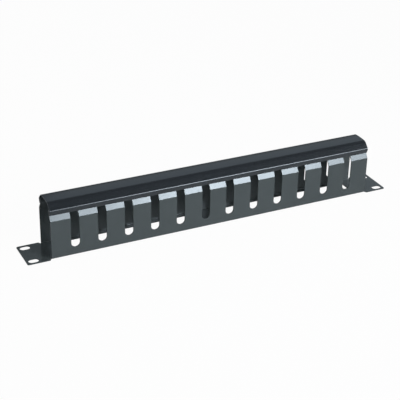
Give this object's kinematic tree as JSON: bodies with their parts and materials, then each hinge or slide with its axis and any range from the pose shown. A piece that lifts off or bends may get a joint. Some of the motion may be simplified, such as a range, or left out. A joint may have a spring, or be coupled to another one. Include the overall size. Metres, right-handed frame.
{
  "type": "rack cable organizer",
  "caption": "Flat rack panel with slotted ears, two bent-up comb walls with leaning finger tips, and a folded cover snapped over the fingers.",
  "frame": {"origin": "centre of the panel's back face, which lies flat on the ground", "axes": "+X along the panel's length from ear to ear, +Y along the rack height towards the rear comb wall, +Z out of the panel towards the cover"},
  "size_m": [0.4826, 0.044, 0.0698],
  "materials": {
    "channel_paint": "semi-gloss black powder coat",
    "cover_paint": "semi-gloss black powder coat"
  },
  "bodies": {
    "root": {"comb_channel": "channel_paint", "snap_cover": "cover_paint"}
  },
  "joints": []
}
